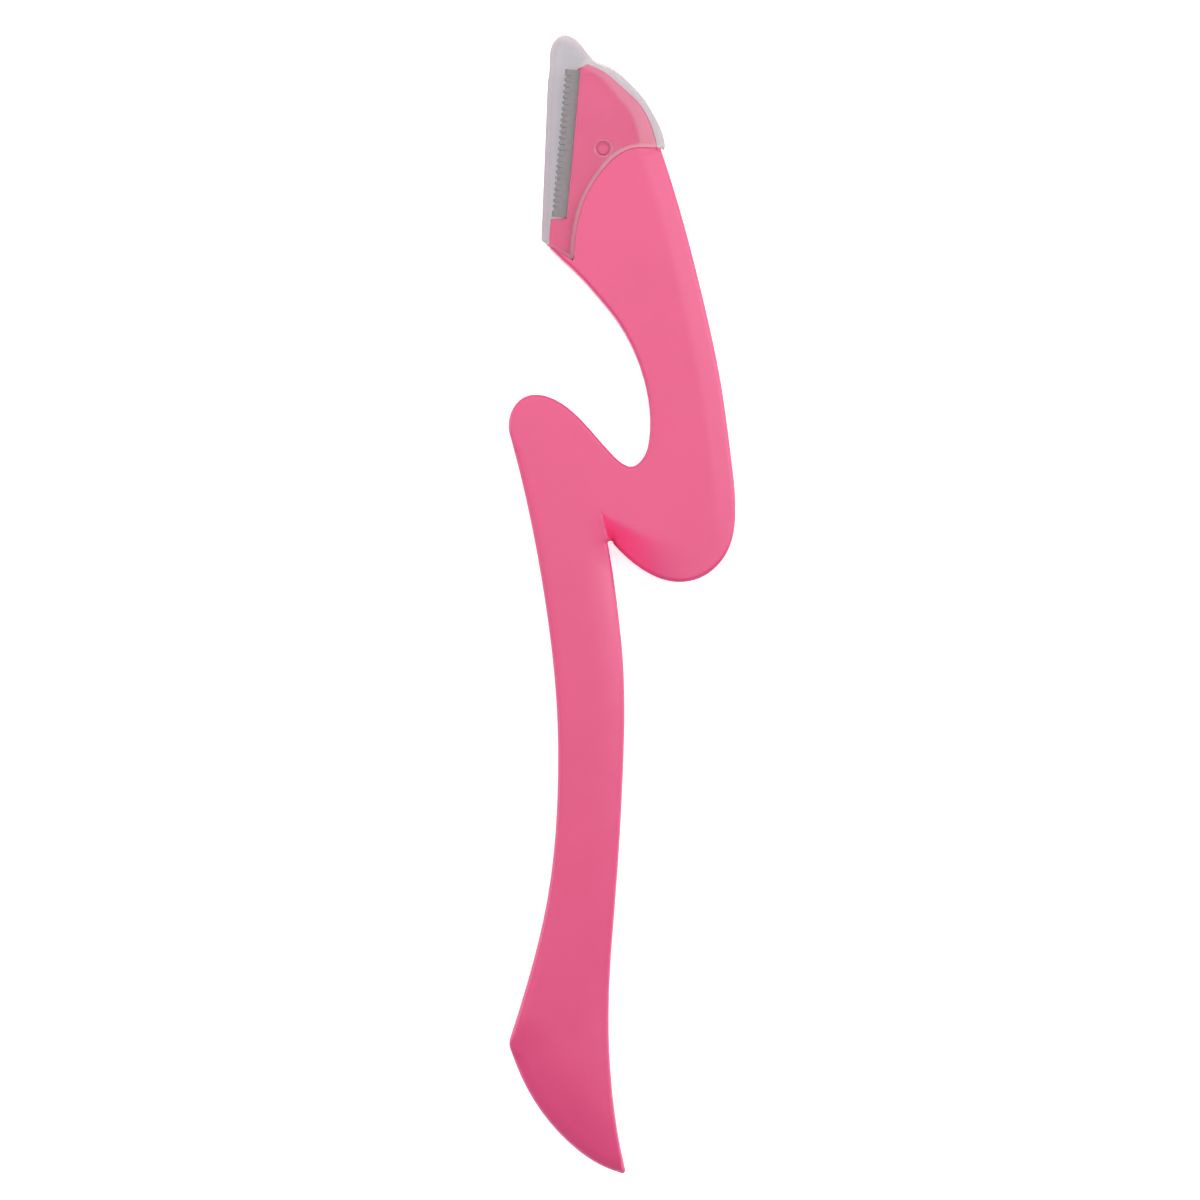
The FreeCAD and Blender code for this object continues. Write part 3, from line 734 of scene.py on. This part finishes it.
CLAMP_LEVEL = 4.3              # the CAD clamp is kept below this height
CLAMP_STEP = 0.3
CLAMP_INSETS = (0.02, 0.06, 0.12, 0.19, 0.27, 0.5)
CLAMP_EDGE = 0.25
CLAMP_GAP = 0.03               # left between the rebuilt face and the shoulder
ON_SHOULDER = 0.3              # the clamp's edge lies on the shoulder where it is this near
LEAST_MITRE = 0.45             # the cosine that limits how far a corner is moved
CLAMP_SMOOTH_ANGLE = 30
HEAD_BACK_FOOT = 61.7          # where the facet along the head's back begins
HEAD_FACET_GRADIENT = 0.17
RECESS_RADIUS = 1.08
RECESS_DEPTH = 0.22
RECESS_SOFTNESS = 0.05
RECESS_RINGS = (0.92, 1.03, 1.08, 1.13, 1.24)
RECESS_RING_CLEAR = 0.09
HOLE_CLEAR = 0.06


def facet_width(y):
    """Width of the facet along the back of the head."""
    return np.interp(y, (61.5, 67.0, 72.0), (2.3, 1.7, 0.8))


def clamp_height(outline, free):
    """The clamp's height over plan places. free marks the outline's points off the shoulder."""
    back = outline.where(
        lambda x, y, inward: (x > -3.6) & (y > HEAD_BACK_FOOT) & (inward[:, 0] < 0))
    free_edge = Edge(outline.points, np.flatnonzero(free))

    def height(places):
        x, y = places.T
        facet = HEAD_FACET_GRADIENT * np.clip(facet_width(y) - back.distance(places), 0, None)
        inner, outer = RECESS_RADIUS - RECESS_SOFTNESS, RECESS_RADIUS + RECESS_SOFTNESS
        from_pin = np.hypot(x - PIN_PLACE[0], y - PIN_PLACE[1])
        recess = RECESS_DEPTH * (1 - ease(from_pin, inner, outer))
        rounding = rounded(free_edge.distance(places), CLAMP_EDGE, CLAMP_EDGE)
        return PLATE_TOP - facet - recess - rounding

    return height


def boundary_loops(work):
    """The closed loops of vertices round a mesh's openings, the shortest first."""
    loops = []
    unused = {vert for edge in work.edges if edge.is_boundary for vert in edge.verts}
    while unused:
        here = min(unused, key=lambda v: (v.co.x, v.co.y))
        loop = []
        while here:
            unused.discard(here)
            loop.append(here)
            onward = [edge.other_vert(here) for edge in here.link_edges if edge.is_boundary]
            here = next((vert for vert in onward if vert in unused), None)
        loops.append(loop)
    return sorted(loops, key=len)


def refaced_clamp(handle_plan):
    """The CAD clamp below CLAMP_LEVEL, closed above it by a face with a facet and rounded edges,
    which reaches the shoulder."""
    work = bmesh.new()
    work.from_mesh(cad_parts["head_clamp"].data)
    bmesh.ops.remove_doubles(work, verts=work.verts, dist=WELD)
    everything = work.verts[:] + work.edges[:] + work.faces[:]
    bmesh.ops.bisect_plane(work, geom=everything, dist=ON_PLANE, clear_outer=True,
                           plane_co=(0, 0, CLAMP_LEVEL * MM), plane_no=(0, 0, 1))
    for edge in [edge for edge in work.edges if edge.is_boundary]:
        cuts = int(edge.calc_length() / (CLAMP_STEP * MM))
        if cuts:
            bmesh.ops.subdivide_edges(work, edges=[edge], cuts=cuts)
    *holes, outer = boundary_loops(work)
    if not np.array_equal(anticlockwise(plan_of(outer)), plan_of(outer)):
        outer.reverse()
    outline = Outline(plan_of(outer))
    gap = handle_plan.where(lambda x, y, inward: y > 44).distance(outline.points)
    free = gap > ON_SHOULDER
    onward = np.roll(outline.points, -1, axis=0) - outline.points
    square = np.column_stack([-onward[:, 1], onward[:, 0]])
    square = square / np.linalg.norm(onward, axis=1)[:, None]
    mitre = 1 / np.clip((square * outline.inward).sum(axis=1), LEAST_MITRE, 1)
    reach = np.where(free, 0, mitre * (gap - CLAMP_GAP))
    outline.points = outline.points - reach[:, None] * outline.inward

    rings = [(PIN_PLACE + radius * circle_points(40), RECESS_RING_CLEAR)
             for radius in RECESS_RINGS]
    places = plan_points(outline, spacing=0.5, extra=rings, insets=CLAMP_INSETS)
    points = list(outline.points)
    edges = [(i, (i + 1) % len(outer)) for i in range(len(outer))]
    hole_plans = [plan_of(loop) for loop in holes]
    for loop in hole_plans:
        centre = loop.mean(axis=0)
        reach = np.linalg.norm(loop - centre, axis=1).max()
        places = places[np.linalg.norm(places - centre, axis=1) > reach + HOLE_CLEAR]
        first = len(points)
        points += list(loop)
        edges += [(first + i, first + (i + 1) % len(loop)) for i in range(len(loop))]
    fixed = outer + [vert for loop in holes for vert in loop]
    points += list(places)
    made, faces, came_from = triangulated(points, edges)
    plan = np.array([(v.x, v.y) for v in made])
    top = clamp_height(outline, free)(plan)
    fresh = [work.verts.new(Vector((x, y, z)) * MM) for (x, y), z in zip(plan, top)]
    above = {}
    for vert, sources in zip(fresh, came_from):
        for source in sources:
            if source < len(fixed):
                above[fixed[source]] = vert
    for face in faces:
        centre = np.array([plan[list(face)].mean(axis=0)])
        if not any(inside(loop, centre)[0] for loop in hole_plans):
            work.faces.new([fresh[i] for i in face])
    for loop in [outer] + holes:
        for a, b in zip(loop, loop[1:] + loop[:1]):
            work.faces.new((a, b, above[b], above[a]))
    bmesh.ops.delete(work, geom=[vert for vert in fresh if not vert.link_faces], context="VERTS")
    bmesh.ops.recalc_face_normals(work, faces=work.faces)
    mesh = bpy.data.meshes.new("head_clamp_front")
    work.to_mesh(mesh)
    work.free()
    mesh.shade_smooth()
    mesh.set_sharp_from_angle(angle=math.radians(CLAMP_SMOOTH_ANGLE))
    mesh.materials.append(PINK)
    piece = bpy.data.objects.new("head_clamp_front", mesh)
    bpy.context.scene.collection.objects.link(piece)
    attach(piece, "handle")
    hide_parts("head_clamp")


def plan_of(verts):
    return np.array([(vert.co.x / MM, vert.co.y / MM) for vert in verts])


def circle_points(count):
    turn = np.linspace(0, 2 * math.pi, count + 1)
    return np.column_stack([np.cos(turn), np.sin(turn)])


# ---------------------------------------------------------------- cap

CAP_PLATE = 5.5                # front face of the cap, below the bead round its mouth
CAVITY_TOP, CAVITY_BASE = 5.0, 1.4
CAP_EDGE = 0.6
CAP_FRONT_DROP = 0.45          # of the front's rounding, which ends just above the cavity
CAP_STEP = 0.2
CAP_INSETS = (0.012, 0.04, 0.09, 0.16, 0.24, 0.31, 0.39, 0.47, 0.54, 0.6, 0.66, 0.8)
CAVITY_STEP = 0.25
HEAD_STEP = 0.3
BEAD_WIDTH = 0.6
MOUTH_GAP = 0.04               # left between the mouth's edge and the shoulder
MOUTH_REACH = 0.38             # the most that the mouth's edge is moved towards it
RING_RADIUS, RING_HALF, RING_HEIGHT = 1.13, 0.24, 0.18
DISH_DEPTH = 0.16              # of the hollow inside the ring
PIN_RINGS = (0.6, 0.74, 0.82, 0.9, 0.98, 1.06, 1.14, 1.22, 1.3, 1.37, 1.5)
PIN_RING_CLEAR = 0.07
RIM_SHADE_WIDTH = 1.2                # of the painted shade, darker and mauve, along the crown's edge
VEIL_SOFTNESS = 0.35
RING_MILK, CORNER_MILK, VEIL_SHEEN = 0.65, 0.3, 0.7      # how milky each of these places is; over the veil this milk is a painted sheen
LEAST_BEAD_MILK = 0.35         # of the bead's milkiness, left below the shoulder's foot


def cap_milk(bead, ring, from_pin, mouth, plan):
    """How milky the cap is over plan places: along its bead and ring, in the corner between them,
    and in a veil over the back of the head, which is a painted sheen over the head's facet."""
    middle = 0.5 * (box_mm("head_carrier")[0][2] + MIDDLE)
    head = Outline(level_loops("head_carrier", middle)[0], HEAD_STEP)
    head_back = head.where(
        lambda x, y, inward: (x > -4.6) & (y > HEAD_BACK_FOOT) & (inward[:, 0] < 0))
    corner_zone = ease(mouth.distance(plan), 1.9, 0.5) * ease(np.abs(from_pin - 1.7), 1.1, 0.2)
    along_shoulder = LEAST_BEAD_MILK + (1 - LEAST_BEAD_MILK) * ease(plan[:, 0], -8.0, -6.8)
    width = facet_width(plan[:, 1])
    # painted sheen: the cap is milkier over the head's back facet, standing in for the lighter
    # band that the facet catches
    veil = 1 - ease(head_back.distance(plan), width - VEIL_SOFTNESS, width + VEIL_SOFTNESS)
    milk_and_sheen = bead**0.5 * along_shoulder + RING_MILK * ring + CORNER_MILK * corner_zone
    return list(np.clip(milk_and_sheen + VEIL_SHEEN * veil, 0, 1))


def cap_piece(handle_plan):
    """The cap: two plates joined by a wall round their crown, and open along the mouth."""
    outline = Outline(level_loops("cap", CAVITY_TOP + 0.1)[0], CAP_STEP)
    first = int(np.argmax(outline.points[:, 0]))
    outline.points = np.roll(outline.points, -first, axis=0)
    outline.inward = np.roll(outline.inward, -first, axis=0)
    count = len(outline.points)
    corner = int(np.argmin(outline.points[:, 0]))           # the crown runs from 0 to here
    beside = np.arange(count) > corner
    gap = handle_plan.where(lambda x, y, inward: y > 40).distance(outline.points)
    reach = (gap - MOUTH_GAP) * ease(outline.points[:, 0], -10.5, -9.4)
    reach = np.minimum(np.where(beside & (gap < 1), reach, 0), MOUTH_REACH)
    outline.points = outline.points - reach[:, None] * outline.inward
    crown = Edge(outline.points, range(corner + 1))
    mouth = Edge(outline.points, [i % count for i in range(corner, count + 1)])

    # the cavity's side, from the wall's section at mid height
    wall = anticlockwise(level_loops("cap", MIDDLE)[0])
    wall = np.roll(wall, -int(np.argmax(wall[:, 0])), axis=0)
    inner = np.flatnonzero(outline.whole().distance(wall) > 0.1)
    side = smooth_run(wall[inner[0] - 1:inner[-1] + 2], CAVITY_STEP)
    near, far = [int(np.argmin(np.linalg.norm(outline.points - end, axis=1)))
                 for end in (side[0], side[-1])]
    outline.points[near], outline.points[far] = side[0], side[-1]

    def thick_places(places):
        bead = np.clip(1 - (mouth.distance(places) / BEAD_WIDTH)**2, 0, None)
        from_pin = np.hypot(*(places - PIN_PLACE).T)
        ring = np.clip(1 - ((from_pin - RING_RADIUS) / RING_HALF)**2, 0, None)
        return bead, ring, from_pin

    def front(places):
        bead, ring, from_pin = thick_places(places)
        raised = (CAP_HIGH[2] - CAP_PLATE) * np.sqrt(bead)
        raised = np.maximum(raised, RING_HEIGHT * np.sqrt(ring))
        dish = DISH_DEPTH * (1 - ease(from_pin, 0.72, 0.9))
        rounding = rounded(crown.distance(places), CAP_EDGE, CAP_FRONT_DROP)
        return CAP_PLATE + raised - dish - rounding

    def rear(places):
        return CAP_LOW[2] + rounded(crown.distance(places), CAP_EDGE, CAP_EDGE)

    rings = [(PIN_PLACE + radius * circle_points(48), PIN_RING_CLEAR) for radius in PIN_RINGS]
    places = plan_points(outline, spacing=0.45, extra=rings, insets=CAP_INSETS)
    plan, faces = triangles_over(outline, places)
    milk_and_sheen = cap_milk(*thick_places(plan), mouth, plan)
    # painted shade: marks the crown's edge, where the see-through tint is darkened
    rim = list(1 - ease(crown.distance(plan), 0.2, RIM_SHADE_WIDTH))
    vertices = [(x, y, z) for (x, y), z in zip(plan, front(plan))]
    base = len(vertices)
    vertices += [(x, y, z) for (x, y), z in zip(plan, rear(plan))]
    faces += [tuple(base + i for i in face) for face in faces]
    levels = [list(range(count))]
    for z in (CAVITY_TOP, CAVITY_BASE):
        levels.append(list(range(len(vertices), len(vertices) + count)))
        vertices += [(x, y, z) for x, y in outline.points]
    levels.append(list(range(base, base + count)))
    for band, (upper, lower) in enumerate(zip(levels, levels[1:])):
        for i in range(count):
            j = (i + 1) % count
            if band == 1 and near <= i < far:        # the mouth, where the cavity is open
                continue
            faces.append((upper[i], lower[i], lower[j], upper[j]))
    sides = []
    calm = [0.0] * len(vertices) + [1.0] * (2 * (len(side) - 2))
    for level, z in ((levels[1], CAVITY_TOP), (levels[2], CAVITY_BASE)):
        fresh = list(range(len(vertices), len(vertices) + len(side) - 2))
        vertices += [(x, y, z) for x, y in side[1:-1]]
        sides.append([level[near]] + fresh + [level[far]])
        loop = level[near:far + 1] + fresh[::-1]
        filled = flat_fill([vertices[i][:2] for i in loop])
        faces += [tuple(loop[i] for i in face) for face in filled]
    for i in range(len(side) - 1):
        faces.append((sides[0][i], sides[0][i + 1], sides[1][i + 1], sides[1][i]))
    outer_wall = [1.0 if i < near or i > far else 0.0 for i in range(count)]
    marks = {"milk_and_sheen": milk_and_sheen, "rim": 2 * rim, "calm": calm,
             "wall": [0.0] * (2 * base) + 2 * outer_wall}
    for values in marks.values():
        values += [0.0] * (len(vertices) - len(values))
    piece = new_piece("cap_shell", vertices, faces, FROSTED, marks=marks)
    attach(piece, "cap")
    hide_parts("cap")


# ---------------------------------------------------------------- camera, light and floor

VIEW_WIDTH = 0.162             # what the frame spans at the razor
VIEW_CENTRE = (-0.00297, 0.00054)
CAMERA_DISTANCE = 0.9
SENSOR = 36.0
WORLD_LIGHT = 0.26
FLOOR_HALF = 3.0
FLOOR_DROP = 0.00005           # which keeps the floor off the razor's flat back


def camera():
    made = bpy.data.objects.new("camera", bpy.data.cameras.new("camera"))
    made.data.sensor_width = SENSOR
    made.data.lens = SENSOR * CAMERA_DISTANCE / VIEW_WIDTH
    made.data.clip_start = 0.01
    made.location = (*VIEW_CENTRE, CAMERA_DISTANCE + MIDDLE * MM)
    bpy.context.scene.collection.objects.link(made)
    bpy.context.scene.camera = made


def area_light(name, place, target, size, power):
    """A square light of size metres and power watts at a place, turned to a target."""
    light = bpy.data.lights.new(name, "AREA")
    light.shape = "SQUARE"
    light.size = size
    light.energy = power
    made = bpy.data.objects.new(name, light)
    made.location = place
    made.rotation_euler = (Vector(target) - Vector(place)).to_track_quat("-Z", "Y").to_euler()
    bpy.context.scene.collection.objects.link(made)


def studio():
    scene = bpy.context.scene
    scene.view_settings.view_transform = "Standard"
    world = bpy.data.worlds.new("studio")
    world.use_nodes = True
    background = world.node_tree.nodes["Background"]
    background.inputs["Color"].default_value = (1, 1, 1, 1)
    background.inputs["Strength"].default_value = WORLD_LIGHT
    scene.world = world
    area_light("overhead", (0.0, 0.24, 0.5), (0.0, 0.20, 0.0), 0.6, 1.94)
    area_light("strip", (0.34, 0.14, 0.42), (0.0, 0.03, 0.0), 0.26, 1.0)
    area_light("right", (0.5, 0.1, 0.2), (0.0, 0.05, 0.0), 0.3, 0.7)
    area_light("left", (-0.45, 0.1, 0.22), (0.0, 0.05, 0.0), 0.3, 1.0)
    mesh = bpy.data.meshes.new("floor")
    corners = [(x * FLOOR_HALF, y * FLOOR_HALF, -FLOOR_DROP)
               for x, y in ((-1, -1), (1, -1), (1, 1), (-1, 1))]
    mesh.from_pydata(corners, [], [(0, 1, 2, 3)])
    mesh.materials.append(floor_material())
    floor = bpy.data.objects.new("floor", mesh)
    bpy.context.scene.collection.objects.link(floor)


# ---------------------------------------------------------------- build

camera()
studio()
handle_plan = handle_outline()
front_shell(handle_plan)
rear_shell(handle_plan)
refaced_clamp(handle_plan)
cap_piece(handle_plan)
for node, material in (("head_carrier", PINK), ("head_pin", PINK),
                       ("blade", BLADE_STEEL), ("guard_comb", GUARD_STEEL)):
    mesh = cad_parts[node].data
    mesh.materials.clear()
    mesh.materials.append(material)
